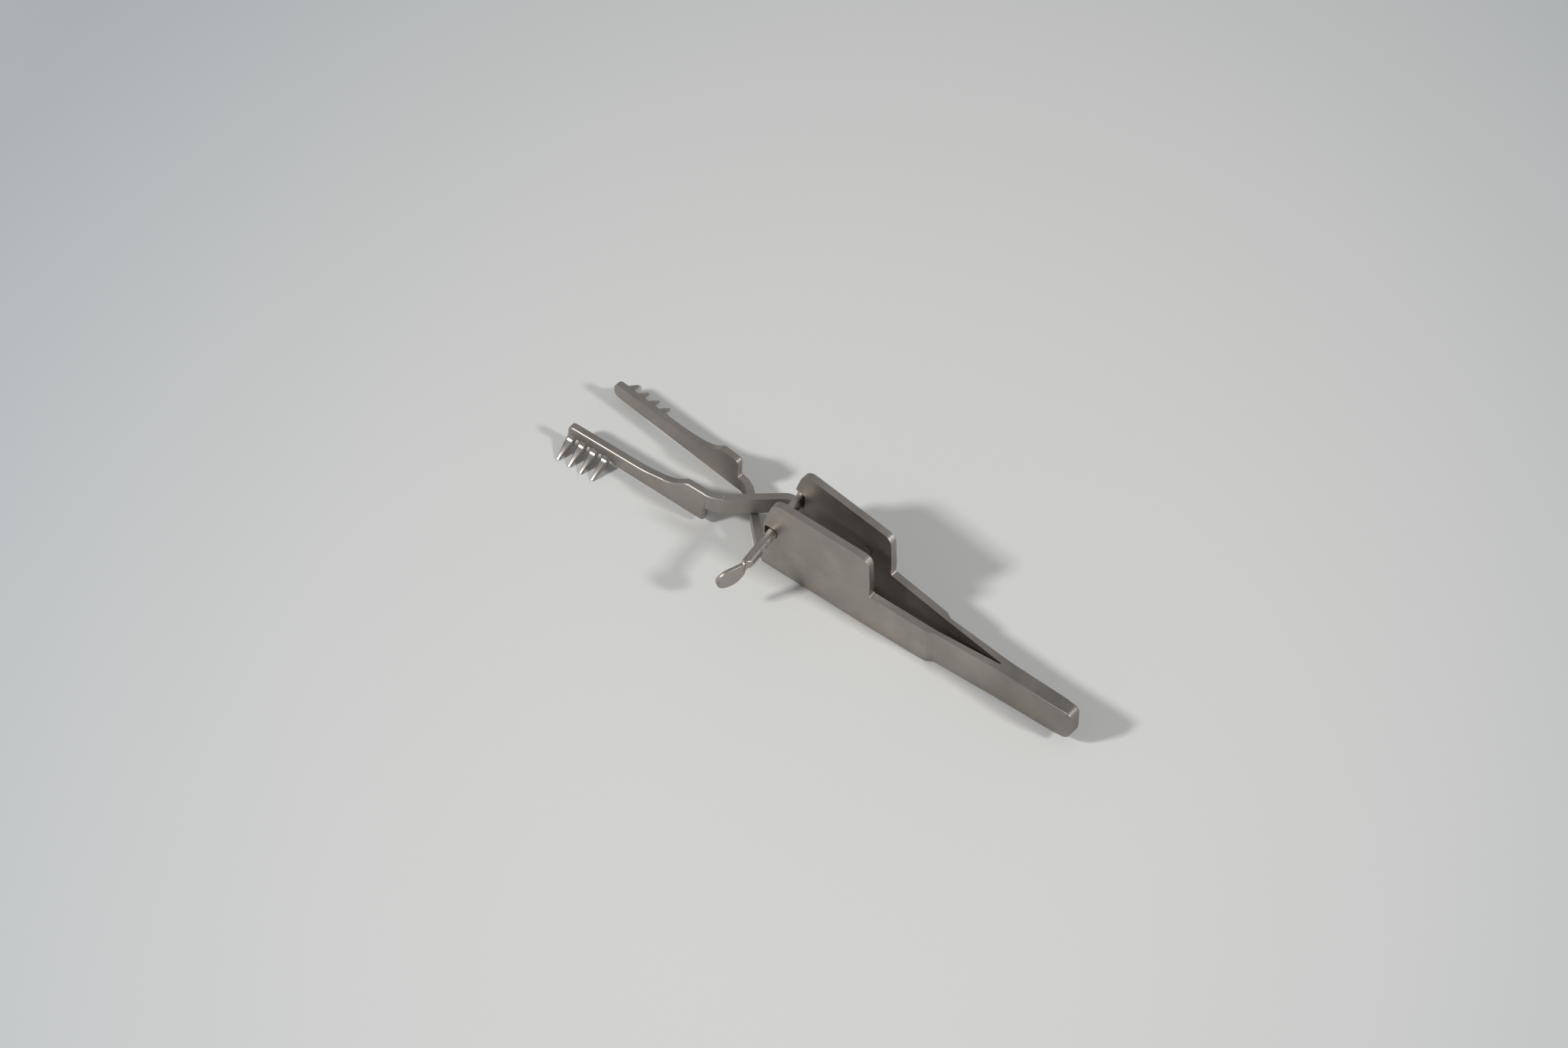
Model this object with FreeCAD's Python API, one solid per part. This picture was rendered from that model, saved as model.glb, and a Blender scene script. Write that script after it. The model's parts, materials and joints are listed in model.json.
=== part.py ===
import FreeCAD, Part

import math
import os

from FreeCAD import Vector

# A tweezers-handled, self-retaining skin retractor with crossed arms. X runs along the instrument from
# the tail to the jaws, Y is to the left, and Z is up from the table it lies on. It rests on the lower
# corners of the arms, just ahead of the thinned spring leaves, and on the tips of its prongs.
# Every length is in millimetres.

# Sheet, and how far the parts run along X
sheet = 1.4
tail_length = 16.7
leaf_length = 12.8
shank_length = 13.6
plate_length = 23.1
neck_length = 13.3
jaw_length = 30.7

# Half of the clear gap between the two arms, at each of the stations where it is set
slot_half_gap = 0.14
step_half_gap = 1.43
plate_rear_half_gap = 2.44
plate_front_half_gap = 3.69
jaw_rear_half_gap = 4.15
jaw_front_half_gap = 5.87

# Ground spring leaf
leaf_front_thickness = 0.86
leaf_step_run = 1.2
leaf_lift = 0.45
hinge_from_slot_end = 5.7
hinge_clearance = 0.03

# Heights of the lower and upper edges above the table, in side view
tail_end_bottom = 2.3
tail_end_height = 7.2
tail_end_lean = 0.3
tail_end_radius = 1.3
slot_end_bottom = 0.68
shank_top_front = 8.54
plate_rear_bottom = 0.29
plate_front_bottom = 0.66
plate_step = 9.1
plate_top_rear = 18.8
plate_top_front = 19.15

# Finger plates
plate_rear_lean = 0.55
plate_rear_corner_radius = 1.6
plate_front_corner_radius = 2.0
plate_step_fillet = 0.5
plate_front_setback = 1.9
plate_front_knee_drop = 7.0
plate_lower_corner_radius = 0.25

# Crossing necks
neck_lower_bottom = 1.4
neck_lower_top = 4.7
neck_clearance = 0.5
neck_bend_radius = 2.4
neck_bend_run = 1.45
jaw_bend_radius = 5.5
jaw_bend_run = 1.75
lower_neck_setback = 0.4
neck_fillet = 0.4

# Broken edge along the rims of the sheet
rim_chamfer = 0.16

# Jaws
jaw_hump_top = 9.2
jaw_hump_length = 4.2
jaw_rear_corner_radius = 0.9
jaw_shoulder_run = 3.3
jaw_shoulder_drop = 2.7
jaw_shoulder_radius = 8.0
jaw_dip_run = 6.1
jaw_dip_radius = 20.0
jaw_blade_drop = 3.75
jaw_front_bottom = 1.95
jaw_front_corner_radius = 1.2

# Prongs
prong_count = 4
prong_pitch = 2.6
prong_inset = 0.85
prong_reach = 4.95
prong_root_height = 3.2
prong_bend_height = 2.15
prong_bend_radius = 1.6
prong_inner_radius = 0.5
prong_knee_reach = 3.1
prong_claw_radius = 3.4
prong_root_width = 1.8
prong_tip_width = 0.45
prong_root_thickness = 1.05
prong_tip_thickness = 0.3

# Ratchet bar, its teeth and its thumb paddle
bar_bottom = 9.5
bar_height = 2.2
bar_width = 1.3
bar_lean = 6.2
bar_set_forward = 0.0
bar_back_round = 1.0
bar_front_round = 0.45
tooth_height = 0.55
tooth_pitch = 1.55
tooth_play = 0.12
teeth_inside = 5
teeth_outside = 3
block_length = 3.9
block_sweep = 0.8
paddle_thickness = 0.9
paddle_turn = 21.5
paddle_length = 5.5
paddle_top_drop = 0.55
paddle_height = 4.35
paddle_round = 2.1

# Windows that the bar passes through
slot_play = 0.12
slot_front_room = 0.88
slot_front_corner_radius = 0.55
slot_rear_corner_radius = 1.1
window_play_z = 0.2
notch_rear_room = 0.35
notch_top_room = 1.6
notch_corner_radius = 0.6

# Leaf spring of the ratchet, and its rivet
spring_thickness = 0.45
spring_height = 4.6
spring_rear_margin = 2.3
spring_front_overhang = 0.5
rivet_from_plate_rear = 5.8
rivet_shank_diameter = 1.2
rivet_head_diameter = 2.1
rivet_head_height = 0.3
pivot_setback = 0.75
tenon_width = 1.0
tenon_neck_width = 0.7
tenon_height = 1.3
tenon_play = 0.06
tenon_head_width = 1.9
tenon_head_thickness = 0.35
head_play = 0.09

# Stations along X
slot_end_x = tail_length
hinge_x = slot_end_x + hinge_from_slot_end
step_x = slot_end_x + leaf_length
plate_rear_x = step_x + shank_length
plate_front_x = plate_rear_x + plate_length
jaw_rear_x = plate_front_x + neck_length
jaw_front_x = jaw_rear_x + jaw_length
neck_upper_bottom = neck_lower_top + neck_clearance
tall = plate_top_front + 10.0


def between(a, b, x):
    """Height of the straight line from a to b at x."""
    return a[1] + (b[1] - a[1]) * (x - a[0]) / (b[0] - a[0])


def outline(corners, lift):
    """Closed wire through corners (a, b, radius), each corner rounded by an arc; lift maps (a, b) to space."""
    count = len(corners)
    starts = []
    ends = []
    arcs = []
    for i, (a, b, radius) in enumerate(corners):
        point = Vector(a, b, 0)
        before = Vector(corners[i - 1][0], corners[i - 1][1], 0)
        after = Vector(corners[(i + 1) % count][0], corners[(i + 1) % count][1], 0)
        incoming = (point - before).normalize()
        outgoing = (after - point).normalize()
        turn = incoming.getAngle(outgoing)
        if radius <= 0 or turn < 1e-6:
            starts.append(point)
            ends.append(point)
            arcs.append(None)
            continue
        reach = radius * math.tan(turn / 2)
        inward = (outgoing - incoming).normalize()
        middle = point + inward * (radius / math.cos(turn / 2) - radius)
        starts.append(point - incoming * reach)
        ends.append(point + outgoing * reach)
        arcs.append(middle)
    edges = []
    for i in range(count):
        if arcs[i] is not None:
            edges.append(Part.Arc(lift(starts[i]), lift(arcs[i]), lift(ends[i])).toShape())
        following = (i + 1) % count
        if ends[i].distanceToPoint(starts[following]) > 1e-6:
            edges.append(Part.LineSegment(lift(ends[i]), lift(starts[following])).toShape())
    return Part.Wire(edges)


def side_prism(corners, reach):
    """Solid with the side-view outline (x, z, radius), from -reach to reach across Y."""
    face = Part.Face(outline(corners, lambda p: Vector(p.x, -reach, p.y)))
    return face.extrude(Vector(0, 2 * reach, 0))


def plan_prism(corners, bottom, top):
    """Solid with the plan outline (x, y, radius), between two heights."""
    face = Part.Face(outline(corners, lambda p: Vector(p.x, p.y, bottom)))
    return face.extrude(Vector(0, 0, top - bottom))


def strip_corners(path, half):
    """Plan outline of a bent strip: path gives the centre line's corners (x, y, radius)."""
    left = []
    right = []
    for i, (x, y, radius) in enumerate(path):
        point = Vector(x, y, 0)
        incoming = Vector(*path[i][:2], 0) - Vector(*path[i - 1][:2], 0) if i > 0 else None
        outgoing = Vector(*path[i + 1][:2], 0) - point if i < len(path) - 1 else None
        incoming = incoming or outgoing
        outgoing = outgoing or incoming
        incoming.normalize()
        outgoing.normalize()
        turn = math.atan2(incoming.cross(outgoing).z, incoming.dot(outgoing))
        mean = (incoming + outgoing).normalize()
        normal = Vector(-mean.y, mean.x, 0) * (half / math.cos(turn / 2))
        grow = half if turn < 0 else -half
        left.append((point.x + normal.x, point.y + normal.y, radius + grow if radius else 0))
        right.append((point.x - normal.x, point.y - normal.y, radius - grow if radius else 0))
    return left + right[::-1]


def vertical_cylinder(x, y, radius):
    """Upright cylinder that is taller than the instrument."""
    return Part.makeCylinder(radius, 2 * tall, Vector(x, y, -tall))


# The centre line of the left arm in plan. The right arm is its mirror image.
half_sheet = sheet / 2
tail_bend_x = slot_end_x - slot_half_gap * (step_x - slot_end_x) / (step_half_gap - slot_half_gap)
plate_rear_y = plate_rear_half_gap + half_sheet
plate_front_y = plate_front_half_gap + half_sheet
jaw_rear_y = jaw_rear_half_gap + half_sheet
jaw_front_y = jaw_front_half_gap + half_sheet
plate_line = ((plate_rear_x, plate_rear_y), (plate_front_x, plate_front_y))
jaw_line = ((jaw_rear_x, jaw_rear_y), (jaw_front_x, jaw_front_y))


def arm_path(crossing_low):
    """The centre line's corners (x, y, radius) in plan."""
    setback = lower_neck_setback if crossing_low else 0.0
    neck_start_x = plate_front_x + neck_bend_run - setback
    neck_end_x = jaw_rear_x - jaw_bend_run - setback
    return [
        (0.0, half_sheet, 0),
        (tail_bend_x, half_sheet, 30.0),
        (step_x, step_half_gap + half_sheet, 150.0),
        (plate_rear_x, plate_rear_y, 150.0),
        (neck_start_x, between(*plate_line, neck_start_x), neck_bend_radius),
        (neck_end_x, -between(*jaw_line, neck_end_x), jaw_bend_radius),
        (jaw_front_x, -jaw_front_y, 0),
    ]


# The spring leaf: its ground outer face, and the upright axis about which it flexes
leaf_line = ((tail_bend_x, half_sheet), (step_x, step_half_gap + half_sheet))
ground_rear_y = sheet
ground_front_y = step_half_gap + leaf_front_thickness
ground_line = ((tail_bend_x, ground_rear_y), (step_x, ground_front_y))
hinge_inner_y = between(*leaf_line, hinge_x) - half_sheet
hinge_outer_y = between(*ground_line, hinge_x)
hinge_y = (hinge_inner_y + hinge_outer_y) / 2
hinge_radius = (hinge_outer_y - hinge_inner_y) / 2
leaf_angle = math.degrees(math.atan2(
    (step_half_gap + ground_front_y) / 2 - sheet / 2, step_x - tail_bend_x))

# The side-view lines that the tail and the arms share
tail_top_line = ((0.0, tail_end_bottom + tail_end_height), (step_x, shank_top_front))
tail_bottom_line = ((0.0, tail_end_bottom), (slot_end_x, slot_end_bottom))
plate_knee_z = plate_top_front - plate_front_knee_drop


def side_corners(crossing_low):
    """Side view of one whole arm; its neck passes below the other arm's neck, or above it."""
    neck_bottom = neck_lower_bottom if crossing_low else neck_upper_bottom
    neck_top = neck_lower_top if crossing_low else jaw_hump_top
    plate_foot = (plate_front_x, plate_front_bottom, plate_lower_corner_radius)
    corners = [
        (0.0, tail_end_bottom, tail_end_radius),
        (slot_end_x, slot_end_bottom, 20.0),
        (step_x, leaf_lift, 0.8),
        (step_x + leaf_step_run, 0.0, 0.8),
        (plate_rear_x, plate_rear_bottom, 0),
        plate_foot,
        (plate_front_x, neck_bottom, neck_fillet if not crossing_low else 0),
    ]
    if crossing_low:
        corners += [(jaw_rear_x, neck_lower_bottom, 0)]
    else:
        corners += [(jaw_rear_x, neck_bottom, neck_fillet), (jaw_rear_x, neck_lower_bottom, 0.7)]
    hump_front_x = jaw_rear_x + jaw_hump_length
    shoulder_x = hump_front_x + jaw_shoulder_run
    blade_top = jaw_hump_top - jaw_blade_drop
    corners += [
        (jaw_front_x, jaw_front_bottom, jaw_front_corner_radius),
        (jaw_front_x, blade_top - 0.1, jaw_front_corner_radius),
        (shoulder_x + jaw_dip_run, blade_top, jaw_dip_radius),
        (shoulder_x, jaw_hump_top - jaw_shoulder_drop, jaw_shoulder_radius),
        (hump_front_x, jaw_hump_top, 1.0),
    ]
    if crossing_low:
        corners += [(jaw_rear_x, jaw_hump_top, jaw_rear_corner_radius), (jaw_rear_x, neck_top, neck_fillet)]
    corners += [
        (plate_front_x, neck_top, neck_fillet),
        (plate_front_x, plate_knee_z, 3.0),
        (plate_front_x - plate_front_setback, plate_top_front, plate_front_corner_radius),
        (plate_rear_x + plate_rear_lean, plate_top_rear, plate_rear_corner_radius),
        (plate_rear_x, plate_step, plate_step_fillet),
        (step_x, shank_top_front, 0),
        (tail_end_lean, tail_end_bottom + tail_end_height, tail_end_radius),
    ]
    return corners


def arm_blank(crossing_low):
    """The left arm as one bent sheet from the tail to the jaw, with its spring leaf ground thin."""
    flat = side_prism(side_corners(crossing_low), 2 * jaw_front_y)
    bent = plan_prism(strip_corners(arm_path(crossing_low), half_sheet), -tall, tall)
    grind = plan_prism(
        [
            (-sheet, ground_rear_y, 0),
            (tail_bend_x, ground_rear_y, 30.0),
            (step_x, ground_front_y, leaf_step_run),
            (step_x + leaf_step_run, ground_front_y + sheet, 0),
            (-sheet, ground_front_y + sheet, 0),
        ],
        -tall,
        tall,
    )
    return flat.common(bent).cut(grind)


def rims(shape, wanted):
    """Edges between an upright sheet face and the side outline, where wanted(middle of the edge) is true."""
    owners = {}
    for face in shape.Faces:
        u0, u1, v0, v1 = face.ParameterRange
        normal = face.normalAt((u0 + u1) / 2, (v0 + v1) / 2)
        is_sheet = abs(normal.z) < 1e-3 and abs(normal.y) > 0.2
        for edge in face.Edges:
            owners.setdefault(edge.hashCode(), []).append((is_sheet, edge))
    pairs = [pair for pair in owners.values() if len(pair) == 2 and pair[0][0] != pair[1][0]]
    return [pair[0][1] for pair in pairs if wanted(pair[0][1].CenterOfMass)]


def arm_with_rims(crossing_low):
    """The bent sheet with the rims of its leaf, plate, neck and jaw broken."""
    blank = arm_blank(crossing_low).Solids[0]
    return blank.makeChamfer(rim_chamfer, rims(blank, lambda c: c.x > slot_end_x))


def leaf_half_space(forward):
    """Everything ahead of the flexing axis, or behind it, square to the leaf."""
    size = 4 * jaw_front_x
    block = Part.makeBox(size, size, 2 * size, Vector(0 if forward else -size, -size / 2, -size))
    block.rotate(Vector(0, 0, 0), Vector(0, 0, 1), leaf_angle)
    block.translate(Vector(hinge_x, hinge_y, 0))
    return block


def mirrored(shape):
    """The mirror image about the plane between the arms."""
    return shape.mirror(Vector(0, 0, 0), Vector(0, 1, 0))


def make_tail():
    """Welded tail of both arms, with a rounded seat for each flexing leaf."""
    blank = arm_blank(True)
    half = blank.common(leaf_half_space(False))
    half = half.cut(vertical_cylinder(hinge_x, hinge_y, hinge_radius + hinge_clearance))
    weld_start_x = tail_bend_x / 2
    weld = plan_prism(
        [
            (weld_start_x, -half_sheet, 0),
            (slot_end_x, -half_sheet / 2, 0),
            (slot_end_x, half_sheet / 2, 0),
            (weld_start_x, half_sheet, 0),
        ],
        -tall,
        tall,
    )
    weld = weld.common(side_prism(side_corners(True), sheet))
    tail = half.fuse(mirrored(half)).fuse(weld).removeSplitter().Solids[0]
    return tail.makeChamfer(rim_chamfer, rims(tail, lambda c: abs(c.y) > 0.9 * sheet))


def prong_profile():
    """End view of one claw as corners (out, height, radius), measured from the middle of the blade's sheet."""
    tip_in = prong_tip_thickness / 2
    return [
        (-half_sheet, prong_root_height, 0),
        (-half_sheet, prong_root_height - prong_bend_height, prong_bend_radius),
        (prong_knee_reach, prong_root_height - prong_bend_height, prong_claw_radius),
        (prong_reach - 2 * tip_in, 0.0, 0),
        (prong_reach, tip_in, 0),
        (prong_knee_reach + prong_root_thickness / 2, prong_root_height - prong_bend_height + prong_root_thickness,
         prong_claw_radius + prong_root_thickness / 2),
        (half_sheet, prong_root_height - prong_bend_height + prong_root_thickness, prong_inner_radius),
        (half_sheet, prong_root_height, 0),
    ]


def prong():
    """One claw at the origin: X along the jaw, Y out of it, its tip at height zero."""
    profile = outline(prong_profile(), lambda p: Vector(-prong_root_width, p.x, p.y))
    claw = Part.Face(profile).extrude(Vector(2 * prong_root_width, 0, 0))
    root = prong_root_width / 2
    tip = prong_tip_width / 2
    taper = [
        (-root, -sheet, 0),
        (root, -sheet, 0),
        (root, half_sheet, 4.0),
        (tip, prong_reach, 0),
        (-tip, prong_reach, 0),
        (-root, half_sheet, 4.0),
    ]
    return claw.common(plan_prism(taper, -sheet, prong_root_height + sheet))


def make_prongs():
    """The row of claws on the left arm's jaw, which is on the right."""
    angle = math.degrees(math.atan2(jaw_front_y - jaw_rear_y, jaw_front_x - jaw_rear_x))
    row = []
    for i in range(prong_count):
        x = jaw_front_x - prong_inset - i * prong_pitch
        claw = mirrored(prong())
        claw.rotate(Vector(0, 0, 0), Vector(0, 0, 1), -angle)
        claw.translate(Vector(x, -between(*jaw_line, x), 0))
        row.append(claw)
    return row


# The ratchet bar's own frame: its axis stands in the leaf spring, v runs outward along the bar, and u
# runs across it towards the jaws.
plate_outer_at_bar = plate_front_y + half_sheet
pivot_y = -(plate_outer_at_bar + spring_thickness / 2)
pivot_x = plate_front_x - pivot_setback
bar_middle = bar_bottom + bar_height / 2
lean = math.radians(bar_lean)
bar_front_u = bar_width / 2 + bar_set_forward
bar_back_u = bar_front_u - bar_width
tip_u = bar_back_u - tooth_height
plate_tilt = math.atan2(plate_front_y - plate_rear_y, plate_front_x - plate_rear_x)
bar_root_v = (spring_thickness / 2 + 2 * tenon_play - bar_back_u * math.sin(lean + plate_tilt)) / math.cos(
    lean + plate_tilt)
near_face_y = between(*plate_line, pivot_x) + half_sheet
near_face_v = (near_face_y - pivot_y) / math.cos(lean) + tip_u * math.tan(lean)
first_tooth_v = near_face_v + tooth_play
block_v = first_tooth_v + teeth_outside * tooth_pitch
block_end_v = block_v + block_length


def in_bar(u, v):
    """Plan position of a point in the bar's own frame."""
    return (
        pivot_x + u * math.cos(lean) - v * math.sin(lean),
        pivot_y + u * math.sin(lean) + v * math.cos(lean),
    )


def make_ratchet_bar():
    """Toothed bar with its tenon and peened head in the leaf spring, and the thumb paddle."""
    paddle_back_u = bar_front_u - paddle_thickness
    points = [(bar_front_u, bar_root_v), (bar_front_u, block_end_v), (paddle_back_u, block_end_v),
              (tip_u, block_end_v - block_sweep), (tip_u, block_v)]
    for i in range(teeth_outside + teeth_inside):
        valley_v = block_v - i * tooth_pitch
        points += [(bar_back_u, valley_v), (tip_u, valley_v - tooth_pitch)]
    points += [(bar_back_u, points[-1][1]), (bar_back_u, bar_root_v)]
    corners = [(*in_bar(u, v), 0) for u, v in points]
    bar = plan_prism(corners, bar_bottom, bar_bottom + bar_height)
    back_round = min(bar_back_round, 0.49 * bar_height)
    section = outline(
        [
            (tip_u, bar_bottom, back_round),
            (bar_front_u, bar_bottom, bar_front_round),
            (bar_front_u, bar_bottom + bar_height, bar_front_round),
            (tip_u, bar_bottom + bar_height, back_round),
        ],
        lambda p: Vector(*in_bar(p.x, 0), p.y),
    )
    bar = bar.common(Part.Face(section).extrude(Vector(*in_bar(0, 2 * block_end_v), 0) - Vector(*in_bar(0, 0), 0)))

    # Thumb paddle: a bent strip in plan, cut to its spoon outline in end view
    turned = math.radians(paddle_turn)
    root = in_bar(bar_front_u - paddle_thickness / 2, block_v)
    knee = in_bar(bar_front_u - paddle_thickness / 2, block_end_v + 0.3)
    tip = (knee[0] + paddle_length * math.sin(turned), knee[1] + paddle_length * math.cos(turned))
    path = [(*root, 0), (*knee, paddle_thickness), (*tip, 0)]
    bar_top = bar_bottom + bar_height
    spoon_start_y = in_bar(0, block_end_v)[1] - 0.5
    spoon_end_y = tip[1]
    spoon_top = bar_top - paddle_top_drop
    spoon = [
        (root[1] - 1.0, bar_bottom, 0),
        (spoon_start_y, bar_bottom, paddle_round / 2),
        (spoon_start_y + 2.0, spoon_top - paddle_height, paddle_round),
        (spoon_end_y, spoon_top - paddle_height, paddle_round),
        (spoon_end_y, spoon_top, paddle_round),
        (root[1] - 1.0, bar_top, 0),
    ]
    face = Part.Face(outline(spoon, lambda p: Vector(0, p.x, p.y)))
    spoon_solid = face.extrude(Vector(2 * plate_front_x, 0, 0))
    strip = plan_prism(strip_corners(path, paddle_thickness / 2), 0, tall)

    # Tenon through the leaf spring, round where it rocks in the spring's window, and the head that holds it
    tenon = Part.makeBox(
        tenon_neck_width, spring_thickness + 3 * head_play + bar_root_v, tenon_height,
        Vector(-tenon_neck_width / 2, -spring_thickness / 2 - 2 * head_play, bar_middle - tenon_height / 2))
    rocker = Part.makeCylinder(tenon_width / 2, tenon_height, Vector(0, 0, bar_middle - tenon_height / 2))
    head = Part.makeBox(
        tenon_head_width, tenon_head_thickness, tenon_head_width,
        Vector(-tenon_head_width / 2, -spring_thickness / 2 - head_play - tenon_head_thickness,
               bar_middle - tenon_head_width / 2))
    head = head.makeFillet(tenon_head_thickness * 0.6, [e for e in head.Edges if abs(e.CenterOfMass.y - (
        -spring_thickness / 2 - head_play - tenon_head_thickness)) < 1e-6])
    stub = tenon.fuse(rocker).fuse(head)
    stub.translate(Vector(pivot_x, pivot_y, 0))
    return bar.fuse(strip.common(spoon_solid)).fuse(stub).removeSplitter()


def make_left_arm():
    """Arm with the slotted finger plate on the left and its jaw on the right."""
    arm = arm_with_rims(True)
    root = vertical_cylinder(hinge_x, hinge_y, hinge_radius).common(side_prism(side_corners(True), jaw_front_y))
    arm = arm.common(leaf_half_space(True)).fuse(root)
    slot_rear = in_bar(tip_u - slot_play, near_face_v)[0]
    slot_front = in_bar(bar_front_u, near_face_v)[0] + slot_front_room
    slot_bottom = bar_bottom - window_play_z
    slot_top = bar_bottom + bar_height + window_play_z
    rear_radius = min(slot_rear_corner_radius, 0.49 * (slot_top - slot_bottom))
    slot = outline(
        [
            (slot_rear, slot_bottom, rear_radius),
            (slot_front, slot_bottom, slot_front_corner_radius),
            (slot_front, slot_top, slot_front_corner_radius),
            (slot_rear, slot_top, rear_radius),
        ],
        lambda p: Vector(p.x - sheet * math.tan(lean), near_face_y + sheet, p.y),
    )
    through = Vector(math.tan(lean), -1, 0) * (4 * sheet)
    arm = arm.cut(Part.Face(slot).extrude(through))
    for claw in make_prongs():
        arm = arm.fuse(claw)
    return arm.removeSplitter()


def on_right_plate(shape, x):
    """Turns a shape, drawn along X with Y pointing out of the plate, onto the right plate's outer face."""
    shape.rotate(Vector(0, 0, 0), Vector(0, 0, 1), -math.degrees(plate_tilt))
    y = -(between(*plate_line, x) + half_sheet / math.cos(plate_tilt))
    shape.translate(Vector(x, y, 0))
    return shape


rivet_x = plate_rear_x + rivet_from_plate_rear
notch_bottom = bar_bottom - window_play_z
notch_height = bar_height + window_play_z + notch_top_room


def make_right_arm():
    """Arm with the notched finger plate on the right and its jaw on the left."""
    arm = arm_with_rims(False)
    root = vertical_cylinder(hinge_x, hinge_y, hinge_radius).common(side_prism(side_corners(False), jaw_front_y))
    arm = arm.common(leaf_half_space(True)).fuse(root)
    for claw in make_prongs():
        arm = arm.fuse(claw)
    arm = mirrored(arm)
    notch_rear = in_bar(tip_u, sheet)[0] - notch_rear_room
    notch = side_prism(
        [
            (notch_rear, notch_bottom, notch_corner_radius),
            (plate_front_x + sheet, notch_bottom, 0),
            (plate_front_x + sheet, notch_bottom + notch_height, 0),
            (notch_rear, notch_bottom + notch_height, notch_corner_radius),
        ],
        2 * plate_front_y,
    )
    notch = notch.common(plan_prism(
        [
            (notch_rear - sheet, -2 * plate_front_y, 0),
            (plate_front_x + sheet / 4, -2 * plate_front_y, 0),
            (plate_front_x + sheet / 4, -plate_rear_y + half_sheet, 0),
            (notch_rear - sheet, -plate_rear_y + half_sheet, 0),
        ],
        -tall,
        tall,
    ))
    rivet_hole = Part.makeCylinder(rivet_shank_diameter / 2, 4 * sheet, Vector(0, -2 * sheet, 0), Vector(0, 1, 0))
    rivet_hole.translate(Vector(0, 0, bar_middle))
    return arm.cut(notch).cut(on_right_plate(rivet_hole, rivet_x)).removeSplitter()


def make_leaf_spring():
    """Flat spring on the right plate's outer face, from its rivet to the bar's tenon."""
    rear = plate_rear_x + spring_rear_margin - rivet_x
    front = plate_front_x + spring_front_overhang - rivet_x
    low = bar_middle - spring_height / 2
    corners = [
        (rear, low, spring_height * 0.45),
        (front, low, 0.5),
        (front, low + spring_height, 0.5),
        (rear, low + spring_height, spring_height * 0.45),
    ]
    face = Part.Face(outline(corners, lambda p: Vector(p.x, 0, p.y)))
    blade = face.extrude(Vector(0, -spring_thickness, 0))
    hole = Part.makeCylinder(rivet_shank_diameter / 2, 2 * sheet, Vector(0, -sheet, bar_middle), Vector(0, 1, 0))
    blade = on_right_plate(blade.cut(hole), rivet_x)
    window = Part.makeBox(
        tenon_width + 2 * tenon_play, 4 * sheet, tenon_height + 2 * tenon_play,
        Vector(pivot_x - tenon_width / 2 - tenon_play, pivot_y - 2 * sheet,
               bar_middle - tenon_height / 2 - tenon_play))
    return blade.cut(window)


def make_spring_rivet():
    """Rivet that holds the leaf spring on the plate, headed on both sides."""
    grip = sheet + spring_thickness
    shank = Part.makeCylinder(rivet_shank_diameter / 2, grip, Vector(0, -spring_thickness, 0), Vector(0, 1, 0))
    inner = Part.makeCylinder(rivet_head_diameter / 2, rivet_head_height, Vector(0, sheet, 0), Vector(0, 1, 0))
    outer = Part.makeCylinder(
        rivet_head_diameter / 2, rivet_head_height, Vector(0, -spring_thickness, 0), Vector(0, -1, 0))
    rivet = shank.fuse(inner).fuse(outer)
    rims = [e for e in rivet.Edges if abs(e.CenterOfMass.y - (sheet + rivet_head_height)) < 1e-6
            or abs(e.CenterOfMass.y + spring_thickness + rivet_head_height) < 1e-6]
    rivet = rivet.makeFillet(rivet_head_height * 0.5, rims)
    rivet.translate(Vector(0, 0, bar_middle))
    return on_right_plate(rivet, rivet_x)


nodes = {
    "handle_tail": make_tail(),
    "left_arm": make_left_arm(),
    "right_arm": make_right_arm(),
    "ratchet_bar": make_ratchet_bar(),
    "leaf_spring": make_leaf_spring(),
    "spring_rivet": make_spring_rivet(),
}

# The origin stands on the table, below the middle of the whole instrument
overall = FreeCAD.BoundBox()
for shape in nodes.values():
    overall.add(shape.optimalBoundingBox(False))
to_origin = Vector(-overall.Center.x, -overall.Center.y, 0)

os.makedirs("parts", exist_ok=True)
for name, shape in nodes.items():
    shape.translate(to_origin)
    shape.exportStep(f"parts/{name}.step")
    box = shape.BoundBox
    print(f"{name}: {len(shape.Solids)} solid, valid {shape.isValid()}, volume {shape.Volume:.1f},"
          f" x {box.XMin:.2f} {box.XMax:.2f} y {box.YMin:.2f} {box.YMax:.2f} z {box.ZMin:.3f} {box.ZMax:.2f}")
mid_plate_x = (plate_rear_x + plate_front_x) / 2
mid_plate_y = between(*plate_line, mid_plate_x) + half_sheet / math.cos(plate_tilt)
print(f"origin moved by {to_origin.x:.4f} {to_origin.y:.4f}, lowest {overall.ZMin:.4f}")
print(f"left flexing axis {hinge_x + to_origin.x:.4f} {hinge_y + to_origin.y:.4f}")
print(f"right flexing axis {hinge_x + to_origin.x:.4f} {-hinge_y + to_origin.y:.4f}")
print(f"bar axis {pivot_x + to_origin.x:.4f} {pivot_y + to_origin.y:.4f}")
print(f"middle of the left plate {mid_plate_x + to_origin.x:.4f} {mid_plate_y + to_origin.y:.4f},"
      f" tilt {math.degrees(plate_tilt):.4f}")
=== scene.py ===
"""Looks of a small self-retaining skin retractor that lies on a pale table.

The two bent sheet arms, the ratchet bar and the weld are modelled here with edit-mode tools, in millimetres
and in the instrument's own lying frame: X from the tail to the jaws, Y to the left, Z up from the table.
Each finished piece is then set in the row's frame, in metres.
"""

import json
import logging
import math
from dataclasses import dataclass, field
from enum import Enum
from typing import Callable

import bmesh
import bpy
from mathutils import Matrix, Vector

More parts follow.
